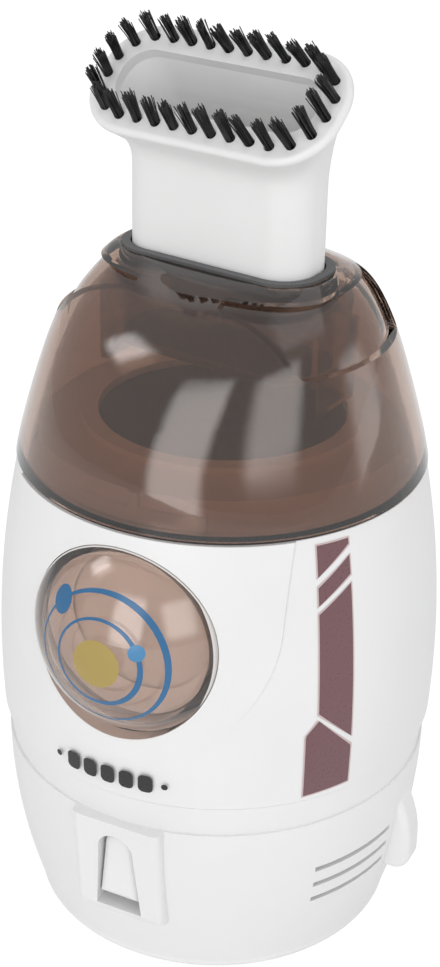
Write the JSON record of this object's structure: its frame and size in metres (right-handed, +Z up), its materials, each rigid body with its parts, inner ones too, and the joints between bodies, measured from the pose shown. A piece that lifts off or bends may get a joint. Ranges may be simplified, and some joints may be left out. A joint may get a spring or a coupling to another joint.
{
  "type": "desktop vacuum cleaner",
  "caption": "Palm-size desk vacuum: white barrel body, smoked lift-off dust cup, slanted brush nozzle, round porthole window, slide power switch.",
  "frame": {"origin": "centre of the foot pad's underside, on the barrel's axis at desk level", "axes": "+Z up along the barrel's axis, -Y out of the porthole at the front, +X to the right seen from the front"},
  "size_m": [0.078, 0.0834, 0.1559],
  "materials": {
    "white_shell": "satin",
    "smoke_brown": "clear smoke-brown, polished",
    "white_back": "smooth",
    "dark_rubber": "matt",
    "mesh_cloth": "woven mesh",
    "bristle": "nylon",
    "filter_paper": "pleated paper",
    "foam": "open foam",
    "steel": "plain",
    "motor_steel": "zinc plated",
    "cell_wrap": "shrink wrap",
    "nickel": "nickel plated",
    "circuit": "lacquered board",
    "black_plastic": "moulded",
    "lead_skin": "insulated lead"
  },
  "bodies": {
    "body": {"base_plate": "white_shell", "foot_pad": "dark_rubber", "base_screws": "steel", "bottom_cap": "white_shell", "main_shell": "white_shell", "porthole_lens": "smoke_brown", "porthole_back": "white_back", "deck": "white_shell", "seam_gasket": "dark_rubber", "fan_shroud": "black_plastic", "deck_screws": "steel", "motor_can": "motor_steel", "motor_end_cap": "black_plastic", "motor_screws": "steel", "battery_cell": "cell_wrap", "battery_cradle": "black_plastic", "battery_contacts": "nickel", "main_board": "circuit", "charging_port": "nickel", "switch_board": "circuit", "slide_switch": "nickel", "motor_leads": "lead_skin", "charging_leads": "lead_skin"},
    "cup": {"dust_cup": "smoke_brown", "mouth_collar": "dark_rubber", "inlet_duct": "smoke_brown", "flap_pin": "steel"},
    "flap": {"inlet_flap": "dark_rubber"},
    "nozzle": {"brush_nozzle": "white_shell", "brush_tufts": "bristle"},
    "filter": {"filter_carrier": "white_back", "filter_sponge": "foam", "filter_pleats": "filter_paper", "filter_mesh": "mesh_cloth"},
    "rotor": {"impeller": "black_plastic", "motor_shaft": "steel"},
    "slider": {"power_slider": "white_shell", "switch_lever": "black_plastic"}
  },
  "joints": [
    {"name": "cup_lift", "type": "slide", "parent": "body", "child": "cup", "axis": [0, 0, 1], "range_m": [0, 0.06]},
    {"name": "nozzle_pull", "type": "slide", "parent": "cup", "child": "nozzle", "axis": [0, 0, 1], "range_m": [0, 0.03]},
    {"name": "flap_swing", "type": "hinge", "parent": "cup", "child": "flap", "pos_m": [0.00171, 0.01218, 0.103], "axis": [0.9903, -0.1392, 0], "range_deg": [0, 24]},
    {"name": "filter_lift", "type": "slide", "parent": "body", "child": "filter", "axis": [0, 0, 1], "range_m": [0, 0.004]},
    {"name": "fan_spin", "type": "hinge", "parent": "body", "child": "rotor", "pos_m": [0, 0, 0.06], "axis": [0, 0, 1], "continuous": true},
    {"name": "power_slide", "type": "slide", "parent": "body", "child": "slider", "axis": [0, 0, -1], "range_m": [0, 0.002]}
  ]
}
